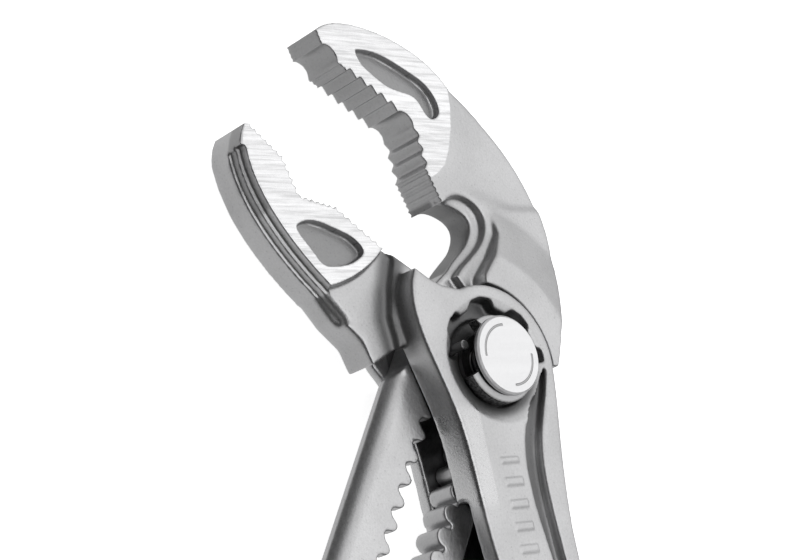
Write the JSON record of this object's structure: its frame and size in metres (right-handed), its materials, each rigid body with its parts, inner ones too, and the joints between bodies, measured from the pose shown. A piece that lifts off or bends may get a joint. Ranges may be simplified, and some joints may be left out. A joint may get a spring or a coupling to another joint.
{
  "type": "tongue and groove pliers",
  "caption": "Adjustable tongue and groove pliers with toothed pipe jaws, a push-button box joint and dipped two-component grips.",
  "frame": {"origin": "joint axis at the surface the pliers lie on, under the bolt's rear head", "axes": "+X along the front lever towards the jaws, +Y towards the slotted lever's handle, +Z along the joint axis to the button"},
  "size_m": [0.2501, 0.1394, 0.017],
  "materials": {
    "forged_steel": "satin",
    "bolt_steel": "satin",
    "button_steel": "satin",
    "spring_steel": "bright",
    "grip_core": "satin",
    "grip_overlay": "matte"
  },
  "bodies": {
    "front_lever": {"lower_jaw_lever": "forged_steel", "guide_pin": "bolt_steel", "lower_grip_core": "grip_core", "lower_grip_overlay": "grip_overlay"},
    "bolt": {"joint_bolt": "bolt_steel", "bolt_sleeve": "bolt_steel", "button_spring": "spring_steel"},
    "button": {"push_button": "button_steel", "locking_key": "bolt_steel", "key_pin": "bolt_steel"},
    "slotted_lever": {"upper_jaw_lever": "forged_steel", "upper_grip_core": "grip_core", "upper_grip_overlay": "grip_overlay"}
  },
  "joints": [
    {"name": "head_hinge", "type": "hinge", "parent": "front_lever", "child": "bolt", "pos_m": [0, 0, 0], "axis": [0, 0, 1], "range_deg": [-6, 24]},
    {"name": "slot_slide", "type": "slide", "parent": "bolt", "child": "slotted_lever", "axis": [0.8192, -0.5736, 0], "range_m": [0, 0.0474]},
    {"name": "button_press", "type": "slide", "parent": "bolt", "child": "button", "axis": [0, 0, -1], "range_m": [0, 0.002], "stiffness_N_per_m": 1500, "springref_m": -0.001, "deforming": ["button_spring"]}
  ]
}
